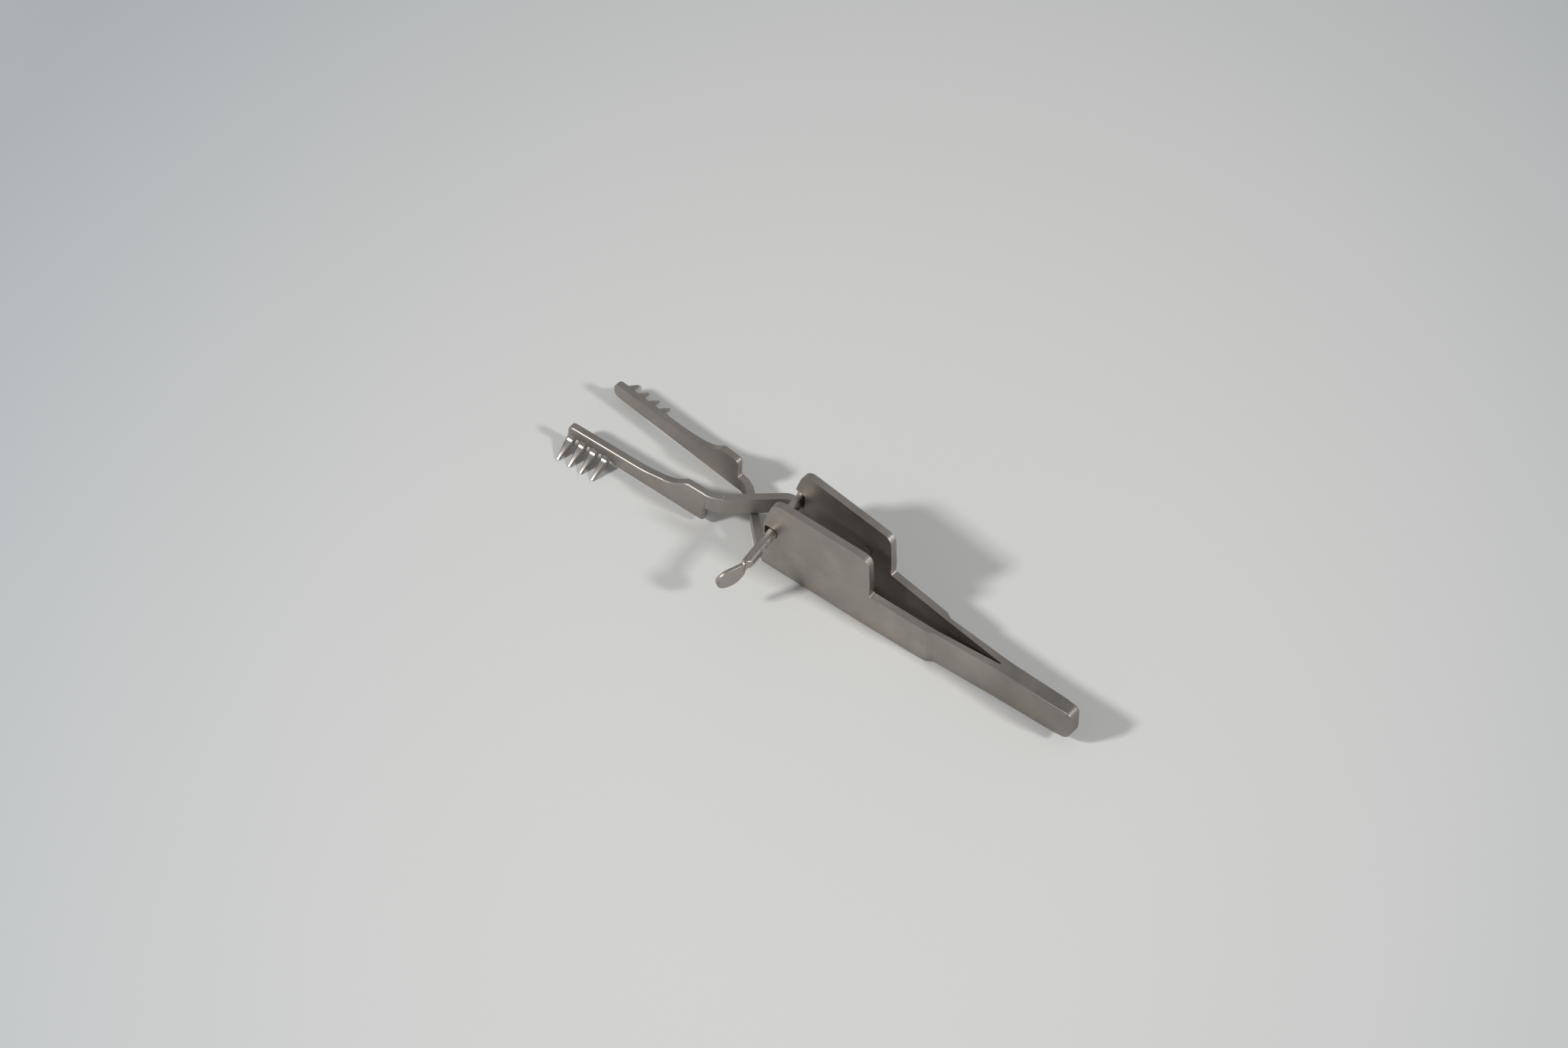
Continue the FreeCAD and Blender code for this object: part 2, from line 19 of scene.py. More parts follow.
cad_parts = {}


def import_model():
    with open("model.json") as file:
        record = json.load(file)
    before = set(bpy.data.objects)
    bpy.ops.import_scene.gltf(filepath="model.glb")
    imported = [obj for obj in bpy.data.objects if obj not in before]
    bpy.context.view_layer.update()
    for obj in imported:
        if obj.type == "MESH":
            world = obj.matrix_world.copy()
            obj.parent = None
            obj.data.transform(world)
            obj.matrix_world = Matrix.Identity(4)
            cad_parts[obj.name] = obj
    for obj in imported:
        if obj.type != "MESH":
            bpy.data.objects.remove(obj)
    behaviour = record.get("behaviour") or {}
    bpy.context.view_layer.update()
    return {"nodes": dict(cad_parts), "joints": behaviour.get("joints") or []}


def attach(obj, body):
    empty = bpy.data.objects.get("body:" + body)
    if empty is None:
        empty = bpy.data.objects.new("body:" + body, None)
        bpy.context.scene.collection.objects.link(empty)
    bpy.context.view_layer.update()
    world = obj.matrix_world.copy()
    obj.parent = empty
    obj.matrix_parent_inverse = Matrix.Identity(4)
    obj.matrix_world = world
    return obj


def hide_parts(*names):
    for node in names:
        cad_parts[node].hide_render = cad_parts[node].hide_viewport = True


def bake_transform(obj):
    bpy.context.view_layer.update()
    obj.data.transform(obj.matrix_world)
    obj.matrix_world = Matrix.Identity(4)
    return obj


log = logging.getLogger("retractor")

MM = 0.001

Plan = tuple[float, float, float]
VertTest = Callable[[Vector], bool]
FaceTest = Callable[[Vector, Vector], bool]
EdgeTest = Callable[[Vector, Vector], bool]


class Crossing(Enum):
    """How an arm's neck passes the other arm's neck."""

    UNDER = "under"
    OVER = "over"


def work_on(obj: bpy.types.Object) -> None:
    """Make obj the only selected and the active object, in object mode.

    Args:
        obj: The object to take up.
    """
    if bpy.context.object and bpy.context.object.mode != "OBJECT":
        bpy.ops.object.mode_set(mode="OBJECT")
    bpy.ops.object.select_all(action="DESELECT")
    obj.select_set(True)
    bpy.context.view_layer.objects.active = obj


def apply_modifiers(obj: bpy.types.Object) -> None:
    """Apply every modifier of obj, from the top of its stack.

    Args:
        obj: The object whose modifiers become part of its mesh.
    """
    work_on(obj)
    for modifier in list(obj.modifiers):
        bpy.ops.object.modifier_apply(modifier=modifier.name)


def combine(obj: bpy.types.Object, tool: bpy.types.Object, operation: str) -> None:
    """Join tool to obj, or cut it out of obj, and remove the tool.

    Args:
        obj: The piece that is kept.
        tool: The closed shape that is joined or cut out.
        operation: UNION or DIFFERENCE.
    """
    modifier = obj.modifiers.new("combine", "BOOLEAN")
    modifier.operation = operation
    modifier.solver = "EXACT"
    modifier.object = tool
    apply_modifiers(obj)
    bpy.data.objects.remove(tool, do_unlink=True)


class Bench:
    """Edit-mode work on one mesh object, with its elements picked by their place."""

    def __init__(self, obj: bpy.types.Object) -> None:
        """Take up obj and enter edit mode with nothing selected.

        Args:
            obj: The mesh object to work on.
        """
        self.obj = obj
        work_on(obj)
        bpy.ops.object.mode_set(mode="EDIT")
        self.mode(False, False, True)
        bpy.ops.mesh.select_all(action="DESELECT")

    def __enter__(self) -> "Bench":
        """Return the bench itself."""
        return self

    def __exit__(self, *unused: object) -> None:
        """Leave edit mode."""
        bpy.ops.object.mode_set(mode="OBJECT")

    def mode(self, verts: bool, edges: bool, faces: bool) -> None:
        """Choose what is selected: vertices, edges or faces."""
        bpy.context.tool_settings.mesh_select_mode = (verts, edges, faces)

    def mesh(self) -> bmesh.types.BMesh:
        """Return the mesh that is being edited."""
        return bmesh.from_edit_mesh(self.obj.data)

    def pick_faces(self, test: FaceTest) -> None:
        """Select the faces that pass a test of their middle and normal.

        Args:
            test: Says whether a face with this middle and normal is wanted.
        """
        self.mode(False, False, True)
        mesh = self.mesh()
        for face in mesh.faces:
            face.select_set(test(face.calc_center_median(), face.normal))
        mesh.select_flush_mode()
        bmesh.update_edit_mesh(self.obj.data)

    def pick_edges(self, test: EdgeTest, sharp: float = 0.0) -> int:
        """Select the edges whose two ends pass a test.

        Args:
            test: Says whether an edge between these two ends is wanted.
            sharp: The least angle in degrees between the edge's two faces.

        Returns:
            How many edges are selected.
        """
        self.mode(False, True, False)
        mesh = self.mesh()
        least = math.radians(sharp)
        for edge in mesh.edges:
            wanted = edge.calc_face_angle(math.pi) >= least and test(edge.verts[0].co, edge.verts[1].co)
            edge.select_set(wanted)
        mesh.select_flush_mode()
        bmesh.update_edit_mesh(self.obj.data)
        return sum(edge.select for edge in mesh.edges)

    def pick_verts(self, test: VertTest) -> None:
        """Select the vertices that pass a test of their place.

        Args:
            test: Says whether a vertex at this place is wanted.
        """
        self.mode(True, False, False)
        mesh = self.mesh()
        for vert in mesh.verts:
            vert.select_set(test(vert.co))
        mesh.select_flush_mode()
        bmesh.update_edit_mesh(self.obj.data)

    def middle(self) -> Vector:
        """Return the middle of the selected vertices."""
        picked = [vert.co for vert in self.mesh().verts if vert.select]
        return sum(picked, Vector()) / len(picked)

    def move(self, x: float = 0.0, y: float = 0.0, z: float = 0.0) -> None:
        """Move the selection."""
        bpy.ops.transform.translate(value=(x, y, z))

    def scale(self, x: float, y: float, z: float) -> None:
        """Scale the selection about its own middle."""
        bpy.ops.transform.resize(value=(x, y, z), center_override=tuple(self.middle()))

    def turn(self, angle: float, centre: tuple[float, float, float]) -> None:
        """Turn the selection about an upright axis; a positive angle turns it clockwise seen from above."""
        bpy.ops.transform.rotate(
            value=angle, orient_axis="Z", orient_type="GLOBAL", center_override=centre)

    def extrude(self, x: float = 0.0, y: float = 0.0, z: float = 0.0) -> None:
        """Extrude the selected faces as one region, and move what was drawn out."""
        bpy.ops.mesh.extrude_region_move(TRANSFORM_OT_translate={"value": (x, y, z)})

    def cut(self, place: Vector, normal: Vector) -> None:
        """Cut the selected faces along a plane, and keep both sides."""
        bpy.ops.mesh.bisect(plane_co=tuple(place), plane_no=tuple(normal), threshold=1e-5)

    def cut_all(self, place: Vector, normal: Vector) -> None:
        """Cut the whole mesh along a plane, and keep both sides."""
        bpy.ops.mesh.select_all(action="SELECT")
        self.cut(place, normal)

    def cut_off(self, place: Vector, normal: Vector) -> None:
        """Cut the whole mesh along a plane, take away what is on the normal's side and close the cut."""
        bpy.ops.mesh.select_all(action="SELECT")
        bpy.ops.mesh.bisect(
            plane_co=tuple(place), plane_no=tuple(normal), threshold=1e-5, use_fill=True, clear_outer=True)

    def bevel(self, width: float, segments: int, clamp: bool = True) -> None:
        """Bevel the selected edges with a round section."""
        bpy.ops.mesh.bevel(
            offset_type="OFFSET", offset=width, segments=segments, profile=0.5, affect="EDGES",
            clamp_overlap=clamp, loop_slide=True)


def set_down(obj: bpy.types.Object, place: Matrix) -> None:
    """Set an object in its place, with that place in its mesh.

    Args:
        obj: The object.
        place: Where it goes.
    """
    obj.matrix_world = place
    work_on(obj)
    bpy.ops.object.transform_apply(location=True, rotation=True, scale=True)


def repeat(pattern: bpy.types.Object, place: Matrix) -> bpy.types.Object:
    """Copy an object, with a mesh of its own.

    Args:
        pattern: The object to copy.
        place: Where the copy goes.

    Returns:
        The copy, set in its place.
    """
    obj = pattern.copy()
    obj.data = pattern.data.copy()
    bpy.context.collection.objects.link(obj)
    set_down(obj, place)
    return obj


def map_range(
        tree: bpy.types.NodeTree, source: bpy.types.NodeSocket, span: tuple[float, float] = (0.0, 1.0),
        result: tuple[float, float] = (0.0, 1.0), smooth: bool = False) -> bpy.types.NodeSocket:
    """Add a Map Range node to a material.

    Args:
        tree: The material's nodes.
        source: The value that is mapped.
        span: The values that become the two ends of the result.
        result: The results at those two ends.
        smooth: Whether the change eases in and out.

    Returns:
        The mapped value.
    """
    node = tree.nodes.new("ShaderNodeMapRange")
    node.interpolation_type = "SMOOTHSTEP" if smooth else "LINEAR"
    for name, value in zip(("From Min", "From Max", "To Min", "To Max"), (*span, *result)):
        node.inputs[name].default_value = value
    tree.links.new(source, node.inputs["Value"])
    return node.outputs["Result"]


def block(name: str, low: Vector, high: Vector) -> bpy.types.Object:
    """Add a cube primitive between two corners, as the start of a piece.

    Args:
        name: The name of the new object.
        low: The corner with the lowest coordinates.
        high: The corner with the highest coordinates.

    Returns:
        The new object, at the origin and unscaled.
    """
    middle = (low + high) / 2
    bpy.ops.object.select_all(action="DESELECT")
    bpy.ops.mesh.primitive_cube_add(size=1.0, location=tuple(middle), scale=tuple(high - low))
    obj = bpy.context.object
    obj.name = name
    bpy.ops.object.transform_apply(location=True, rotation=True, scale=True)
    return obj


@dataclass
class PlanPath:
    """The middle line of a bent sheet in plan, as straight runs joined by arcs."""

    corners: list[Plan]
    arc_steps: int = 10
    points: list[Vector] = field(default_factory=list)
    runs: list[float] = field(default_factory=list)
    bends: list[tuple[float, float]] = field(default_factory=list)

    def __post_init__(self) -> None:
        """Lay out the points of the line, and where along it each bend starts and ends."""
        settle = 0.01
        bend_points: list[tuple[int, int]] = []
        for i, (x, y, radius) in enumerate(self.corners):
            here = Vector((x, y, 0.0))
            if i in (0, len(self.corners) - 1) or radius <= 0:
                self.points.append(here)
                continue
            before = (here - Vector((*self.corners[i - 1][:2], 0.0))).normalized()
            after = (Vector((*self.corners[i + 1][:2], 0.0)) - here).normalized()
            turn = math.atan2(before.cross(after).z, before.dot(after))
            falloff = radius * math.tan(abs(turn) / 2)
            side = Vector((-before.y, before.x, 0.0)) * math.copysign(1.0, turn)
            centre = here - before * falloff + side * radius
            first = len(self.points)
            self.points.append(here - before * (falloff + settle))
            for k in range(self.arc_steps + 1):
                swing = Matrix.Rotation(turn * k / self.arc_steps, 3, "Z")
                self.points.append(centre + swing @ (-side * radius))
            self.points.append(here + after * (falloff + settle))
            bend_points.append((first + 1, len(self.points) - 2))
        self.runs = [0.0]
        for a, b in zip(self.points, self.points[1:]):
            self.runs.append(self.runs[-1] + (b - a).length)
        self.bends = [(self.runs[a], self.runs[b]) for a, b in bend_points]

    def run_at(self, x: float) -> float:
        """Return how far along the line it is to a place with this x."""
        for i, (a, b) in enumerate(zip(self.points, self.points[1:])):
            if x <= b.x or i == len(self.points) - 2:
                share = (x - a.x) / (b.x - a.x)
                return self.runs[i] + share * (b - a).length
        return self.runs[-1]

    def as_curve(self, name: str) -> bpy.types.Object:
        """Return a curve object along the line.

        Args:
            name: The name of the new curve.

        Returns:
            The curve object, with its corners upright for bending a sheet along it.
        """
        data = bpy.data.curves.new(name, "CURVE")
        data.dimensions = "3D"
        data.twist_mode = "Z_UP"
        spline = data.splines.new("POLY")
        spline.points.add(len(self.points) - 1)
        for point, place in zip(spline.points, self.points):
            point.co = (*place, 1.0)
        obj = bpy.data.objects.new(name, data)
        bpy.context.collection.objects.link(obj)
        return obj


@dataclass
class Setting:
    """Where the lying frame, in millimetres, is in the row's frame, in metres."""

    hinge_x: float = 22.4
    hinge_y: float = 1.27955
    offset: Vector = field(default_factory=Vector)

    def find(self, joints: list[dict]) -> None:
        """Read the offset from the left arm's joint.

        Args:
            joints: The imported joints.
        """
        for joint in joints:
            if joint["name"] == "left_squeeze":
                place = Vector(joint["pos_m"])
                self.offset = Vector((place.x - self.hinge_x * MM, place.y - self.hinge_y * MM, 0.0))

    def to_row(self, x: float, y: float, z: float) -> Vector:
        """Return a place of the lying frame in the row's frame."""
        return Vector((x, y, z)) * MM + self.offset

    def place(self, obj: bpy.types.Object) -> None:
        """Set a finished piece in the row's frame, with its place in its mesh.

        Args:
            obj: The piece, modelled in millimetres in the lying frame.
        """
        obj.scale = (MM, MM, MM)
        obj.location = self.offset
        work_on(obj)
        bpy.ops.object.transform_apply(location=True, rotation=True, scale=True)


def finish_surface(obj: bpy.types.Object) -> None:
    """Shade a piece smooth, with its flat faces kept flat and its edges over 40 degrees sharp.

    Args:
        obj: The piece.
    """
    with Bench(obj):
        bpy.ops.mesh.select_all(action="SELECT")
        bpy.ops.mesh.normals_make_consistent(inside=False)
    work_on(obj)
    bpy.ops.object.shade_smooth_by_angle(angle=math.radians(40.0))
    weigh = obj.modifiers.new("flat faces", "WEIGHTED_NORMAL")
    weigh.keep_sharp = True
    weigh.weight = 80
    apply_modifiers(obj)


@dataclass
class Claw:
    """One bent and pointed prong of a jaw, modelled at the origin with X along the jaw and Y out of it."""

    width: float = 1.78
    thickness: float = 1.36
    top: float = 4.0
    bend_start: float = 3.6
    bend_radius: float = 2.0
    bend_turn: float = 70.0
    bend_thin: float = 0.79
    bend_narrow: float = 0.95
    claw_radius: float = 27.7
    claw_turn: float = 8.0
    rounding: float = 25.0
    tip_width: float = 0.42
    tip_thickness: float = 0.3
    steps: int = 7

    def build(self) -> bpy.types.Object:
        """Model the prong from a short block: two runs of spin, each drawn thinner step by step.

        Returns:
            The prong, upright at its root and with its tip at about height zero.
        """
        claw = block(
            "prong", Vector((-self.width / 2, -self.thickness / 2, self.bend_start)),
            Vector((self.width / 2, self.thickness / 2, self.top)))
        with Bench(claw) as bench:
            bench.pick_faces(lambda c, n: n.z < -0.9)
            centre = Vector((0.0, self.bend_radius, self.bend_start))
            self.spin(bench, centre, self.bend_turn, self.bend_thin, self.bend_narrow)
            end = bench.middle()
            heading = math.radians(self.bend_turn - 90.0)
            normal = Vector((0.0, -math.sin(heading), math.cos(heading)))
            centre = end - normal * self.claw_radius
            thin = self.tip_thickness / (self.thickness * self.bend_thin)
            narrow = self.tip_width / (self.width * self.bend_narrow)
            self.spin(bench, centre, -self.claw_turn, thin, narrow)
            bench.pick_edges(lambda a, b: abs(a.x - b.x) < 0.6 * self.width, sharp=50.0)
            bpy.ops.mesh.bevel(
                offset_type="PERCENT", offset_pct=self.rounding, segments=4, profile=0.5, affect="EDGES",
                clamp_overlap=True, loop_slide=True)
        return claw

    def spin(self, bench: Bench, centre: Vector, turn: float, thin: float, narrow: float) -> None:
        """Spin the selected end about an axis along X, and make it smaller at each step.

        Args:
            bench: The bench with the end face selected.
            centre: A point on the axis of the spin.
            turn: The whole turn in degrees, from down towards outward.
            thin: What is left of the thickness at the end.
            narrow: What is left of the width at the end.
        """
        steps = self.steps
        for k in range(steps):
            bpy.ops.mesh.spin(
                steps=1, angle=math.radians(-turn / steps), center=tuple(centre), axis=(1.0, 0.0, 0.0))
            thinner = (1 + (thin - 1) * (k + 1) / steps) / (1 + (thin - 1) * k / steps)
            narrower = (1 + (narrow - 1) * (k + 1) / steps) / (1 + (narrow - 1) * k / steps)
            bench.scale(narrower, thinner, thinner)


@dataclass
class SheetArm:
    """One arm with its half of the tail: a flat blank of sheet, drawn out, rounded and bent in plan."""

    crossing: Crossing
    body: str
    nodes: tuple[str, ...]
    sheet: float = 1.4
    tail_bend_x: float = 15.311
    leaf_start_x: float = 17.0
    leaf_end_x: float = 28.4
    step_x: float = 29.5
    step_y: float = 1.43
    plate_rear_x: float = 43.1
    plate_rear_y: float = 2.44
    plate_front_x: float = 66.2
    plate_front_y: float = 3.69
    jaw_rear_x: float = 79.5
    jaw_rear_y: float = 4.15
    jaw_front_x: float = 110.2
    jaw_front_y: float = 5.87
    tail_bottom: float = 2.3
    tail_top: float = 9.5
    shank_top: float = 9.1
    plate_bottom: float = 0.66
    plate_top: float = 19.0
    under_neck_top: float = 4.7
    over_neck_bottom: float = 5.2
    jaw_rear_bottom: float = 1.4
    jaw_front_bottom: float = 1.95
    jaw_front_top: float = 5.35
    hump_length: float = 4.2
    hump_top: float = 9.2
    hump_foot: float = 3.3
    hump_foot_top: float = 6.5
    taper_run: float = 9.4
    taper_top: float = 5.45
    leaf_thickness: float = 0.86
    rim_round: float = 0.07
    jaw_round: float = 0.36
    end_round: float = 0.4
    plate_knee_z: float = 12.15
    claw_inset: float = 0.85
    band_bottom: float = 2.9
    claw_pitch: float = 2.6
    claw_count: int = 4
    path: PlanPath | None = None

    def __post_init__(self) -> None:
        """Lay out the plan of the bent sheet."""
        half = self.sheet / 2
        slope = (self.plate_front_y - self.plate_rear_y) / (self.plate_front_x - self.plate_rear_x)
        setback = 0.4 if self.crossing is Crossing.UNDER else 0.0
        neck_start = self.plate_front_x + 1.45 - setback
        jaw_slope = (self.jaw_front_y - self.jaw_rear_y) / (self.jaw_front_x - self.jaw_rear_x)
        neck_end = self.jaw_rear_x - 1.75 - setback
        self.path = PlanPath([
            (0.0, half, 0.0),
            (self.tail_bend_x, half, 30.0),
            (self.step_x, self.step_y + half, 150.0),
            (self.plate_rear_x, self.plate_rear_y + half, 150.0),
            (neck_start, self.plate_rear_y + half + slope * (neck_start - self.plate_rear_x), 2.4),
            (neck_end, -(self.jaw_rear_y + half + jaw_slope * (neck_end - self.jaw_rear_x)), 5.5),
            (self.jaw_front_x, -(self.jaw_front_y + half), 0.0),
        ])

    def build(self, setting: Setting) -> bpy.types.Object:
        """Model the arm and set it in the row's frame.

        Args:
            setting: Where the lying frame is.

        Returns:
            The finished arm.
        """
        arm = self.blank()
        self.round_corners(arm)
        self.grind_leaf(arm)
        self.cut_for_bends(arm)
        self.soften_edges(arm)
        self.bend_in_plan(arm)
        self.add_claws(arm)
        if self.body == "left":
            self.cut_slot(arm)
        else:
            self.mirror(arm)
            self.cut_notch(arm)
        finish_surface(arm)
        setting.place(arm)
        return arm

    @property
    def hump_x(self) -> float:
        """Return where the hump at the jaw's rear ends."""
        return self.jaw_rear_x + self.hump_length

    def bottom_at(self, x: float) -> float:
        """Return the height of the jaw's lower edge."""
        rise = self.jaw_front_bottom - self.jaw_rear_bottom
        return self.jaw_rear_bottom + rise * (x - self.jaw_rear_x) / (self.jaw_front_x - self.jaw_rear_x)

    def draw_out(self, bench: Bench, x: float, bottom: float, top: float) -> None:
        """Extrude the front face to a new station, and give it new heights.

        Args:
            bench: The bench with the arm's front face selected.
            x: The new station.
            bottom: The lower edge's height there.
            top: The upper edge's height there.
        """
        before = bench.middle()
        picked = [vert.co.z for vert in bench.mesh().verts if vert.select]
        tall = max(picked) - min(picked)
        centre = (max(picked) + min(picked)) / 2
        run = self.path.run_at(x)
        bench.extrude(x=run - before.x, z=(bottom + top) / 2 - centre)
        middle = (run, 0.0, (bottom + top) / 2)
        bpy.ops.transform.resize(value=(1.0, 1.0, (top - bottom) / tall), center_override=middle)

    def blank(self) -> bpy.types.Object:
        """Draw the flat blank out of a block, station by station.

        Returns:
            The blank, with X along the sheet and Y through its thickness.
        """
        half = self.sheet / 2
        run = self.path.run_at
        arm = block(
            f"{self.body}_sheet", Vector((0.0, -half, self.tail_bottom)),
            Vector((run(self.tail_bend_x), half, self.tail_top)))
        with Bench(arm) as bench:
            bench.pick_verts(lambda v: v.x > 1.0 and v.z > 5.0)
            bench.move(z=-0.5)
            bench.pick_verts(lambda v: v.x > 1.0 and v.z < 5.0)
            bench.move(z=-1.48)
            bench.pick_verts(lambda v: v.x < 1.0 and v.z > 5.0)
            bench.move(x=0.3)
            bench.pick_faces(lambda c, n: n.x > 0.9)
            self.draw_out(bench, self.step_x, 0.45, 8.54)
            self.draw_out(bench, self.step_x + 1.2, 0.0, 8.58)
            self.draw_out(bench, self.plate_rear_x, 0.29, self.shank_top)
            self.draw_out(bench, self.plate_front_x, self.plate_bottom, self.shank_top)
            self.raise_plate(bench)
            self.draw_neck_and_jaw(bench)
        return arm

    def raise_plate(self, bench: Bench) -> None:
        """Raise the finger plate from the shank's upper edge."""
        rear = self.path.run_at(self.plate_rear_x)
        front = self.path.run_at(self.plate_front_x)
        bench.pick_faces(lambda c, n: rear < c.x < front and n.z > 0.9)
        bench.extrude(z=self.plate_knee_z - self.shank_top)
        bench.extrude(z=self.plate_top - self.plate_knee_z)
        bench.pick_verts(lambda v: v.z > 18.0 and v.x < (rear + front) / 2)
        bench.move(x=0.55, z=-0.2)
        bench.pick_verts(lambda v: v.z > 18.0 and v.x > (rear + front) / 2)
        bench.move(x=-1.9, z=0.15)

    def draw_neck_and_jaw(self, bench: Bench) -> None:
        """Draw the crossing neck and the jaw out of the plate's front edge."""
        front = self.path.run_at(self.plate_front_x)
        rear = self.path.run_at(self.jaw_rear_x)
        end = self.path.run_at(self.hump_x)
        under = self.crossing is Crossing.UNDER
        low = self.jaw_rear_bottom if under else self.over_neck_bottom
        high = self.under_neck_top if under else self.shank_top
        bench.pick_faces(lambda c, n: n.x > 0.9 and abs(c.x - front) < 0.01 and c.z < 9.0)
        for level in (low, high) if under else (low,):
            bench.cut(Vector((front, 0.0, level)), Vector((0.0, 0.0, 1.0)))
            bench.pick_faces(lambda c, n: n.x > 0.9 and abs(c.x - front) < 0.01 and c.z < 9.0)
        bench.pick_faces(lambda c, n: n.x > 0.9 and abs(c.x - front) < 0.01 and low < c.z < high)
        self.draw_out(bench, self.jaw_rear_x, low, high if under else self.hump_top)
        if under:
            self.draw_out(bench, self.hump_x, self.bottom_at(self.hump_x), high)
            bench.pick_faces(lambda c, n: c.x > rear and n.z > 0.9)
            bench.extrude(z=self.hump_top - high)
        else:
            self.draw_out(bench, self.hump_x, low, self.hump_top)
            bench.pick_faces(lambda c, n: c.x > rear and n.z < -0.9)
            bench.extrude(z=self.bottom_at(self.jaw_rear_x) - low)
        bench.pick_faces(lambda c, n: n.x > 0.9 and abs(c.x - end) < 0.01)
        stations = [
            (self.hump_x + self.hump_foot, self.hump_foot_top),
            (self.hump_x + self.taper_run, self.taper_top),
            (self.jaw_front_x, self.jaw_front_top),
        ]
        for x, top in stations:
            self.draw_out(bench, x, self.bottom_at(x), top)

    def round_corners(self, arm: bpy.types.Object) -> None:
        """Round the outline's corners in side view, each with its own radius."""
        rear, front = self.plate_rear_x, self.plate_front_x
        jaw, tip = self.jaw_rear_x, self.jaw_front_x
        corners = [
            (0.0, self.tail_bottom, 2.1), (0.3, self.tail_top, 1.4), (rear, self.shank_top, 0.5),
            (rear + 0.55, 18.8, 1.6), (front - 1.9, 19.15, 2.0), (front, self.plate_knee_z, 0.8),
            (front, self.plate_bottom, 0.25), (self.hump_x, self.hump_top, 0.5),
            (self.hump_x + self.hump_foot, self.hump_foot_top, 2.1),
            (self.hump_x + self.taper_run, self.taper_top, 1.6),
            (tip, self.jaw_front_top, 1.2), (tip, self.jaw_front_bottom, 1.2),
        ]
        if self.crossing is Crossing.UNDER:
            split = self.under_neck_top
            corners += [(jaw, self.hump_top, 0.9), (jaw, split, 0.35), (front, split, 0.3)]
        else:
            split = self.over_neck_bottom
            corners += [(jaw, self.jaw_rear_bottom, 0.7), (jaw, split, 0.35), (front, split, 0.35)]
        with Bench(arm) as bench:
            for x, z, width in corners:
                run = self.path.run_at(x)
                if not bench.pick_edges(lambda a, b: self.stands_at(a, b, run, z)):
                    log.warning("no corner at %.1f %.1f", x, z)
                    continue
                bench.bevel(width, 6)

    @staticmethod
    def stands_at(a: Vector, b: Vector, run: float, z: float) -> bool:
        """Tell whether an edge runs through the sheet at this place of the outline."""
        near = max(abs(a.x - run), abs(b.x - run)) < 0.12 and max(abs(a.z - z), abs(b.z - z)) < 0.12
        return near and abs(a.y - b.y) > 0.5

    def grind_leaf(self, arm: bpy.types.Object) -> None:
        """Thin the spring leaf on its outer face, towards the step."""
        run = self.path.run_at(self.step_x)
        with Bench(arm) as bench:
            bench.pick_verts(lambda v: abs(v.x - run) < 0.01 and v.y > 0.0)
            bench.move(y=self.leaf_thickness - self.sheet)

    def cut_for_bends(self, arm: bpy.types.Object) -> None:
        """Cut the blank across at every step of its bends, and along its leaf, so that it can bend."""
        places: list[float] = []
        for start, end in self.path.bends:
            steps = 10 if end - start > 1.0 else 3
            places += [start + (end - start) * k / steps for k in range(steps + 1)]
        leaf_start = self.path.run_at(self.leaf_start_x)
        leaf_end = self.path.run_at(self.leaf_end_x)
        places += [leaf_start + (leaf_end - leaf_start) * k / 6 for k in range(7)]
        with Bench(arm) as bench:
            for place in places:
                bench.cut_all(Vector((place, 0.0, 0.0)), Vector((1.0, 0.0, 0.0)))

    def soften_edges(self, arm: bpy.types.Object) -> None:
        """Round the rims: the tail's end and the jaw's outer rim well, the fingers' side a little."""
        half = self.sheet / 2
        jaw = self.path.run_at(self.jaw_rear_x - 3.0)
        end = 2.5

        def is_tail_end(a: Vector, b: Vector) -> bool:
            """Tell whether an edge is in the outer rim of the tail's rear end."""
            return min(a.y, b.y) > half - 0.01 and max(a.x, b.x) < end

        def is_jaw_rim(a: Vector, b: Vector) -> bool:
            """Tell whether an edge is in the jaw's rim on the prongs' side."""
            return max(a.y, b.y) < 0.01 - half and min(a.x, b.x) > jaw

        def is_outer_rim(a: Vector, b: Vector) -> bool:
            """Tell whether an edge is in the rim on the fingers' side, ahead of the tail's end."""
            return min(a.y, b.y) > 0.01 and max(a.x, b.x) < jaw

        with Bench(arm) as bench:
            for test, width, steps in (
                    (is_tail_end, self.end_round, 5), (is_jaw_rim, self.jaw_round, 4),
                    (is_outer_rim, self.rim_round, 2)):
                bench.pick_edges(test, sharp=35.0)
                bench.bevel(width, steps, clamp=False)

    def bend_in_plan(self, arm: bpy.types.Object) -> None:
        """Bend the blank along the plan of the arm."""
        curve = self.path.as_curve(f"{self.body}_plan")
        bend = arm.modifiers.new("bend", "CURVE")
        bend.object = curve
        bend.deform_axis = "POS_X"
        apply_modifiers(arm)
        bpy.data.objects.remove(curve, do_unlink=True)

    def add_claws(self, arm: bpy.types.Object) -> None:
        """Set the row of prongs out of the jaw's lower edge."""
        widening = self.jaw_front_y - self.jaw_rear_y
        jaw_slope = math.atan2(widening, self.jaw_front_x - self.jaw_rear_x)
        pattern = Claw().build()
        if self.body == "right":
            self.clear_below_prongs(arm, jaw_slope)
        for i in range(self.claw_count):
            x = self.jaw_front_x - self.claw_inset - i * self.claw_pitch
            share = (x - self.jaw_rear_x) / (self.jaw_front_x - self.jaw_rear_x)
            y = -(self.jaw_rear_y + widening * share + self.sheet / 2)
            turn = Matrix.Rotation(math.pi - jaw_slope, 4, "Z")
            combine(arm, repeat(pattern, Matrix.Translation((x, y, 0.0)) @ turn), "UNION")
        bpy.data.objects.remove(pattern, do_unlink=True)

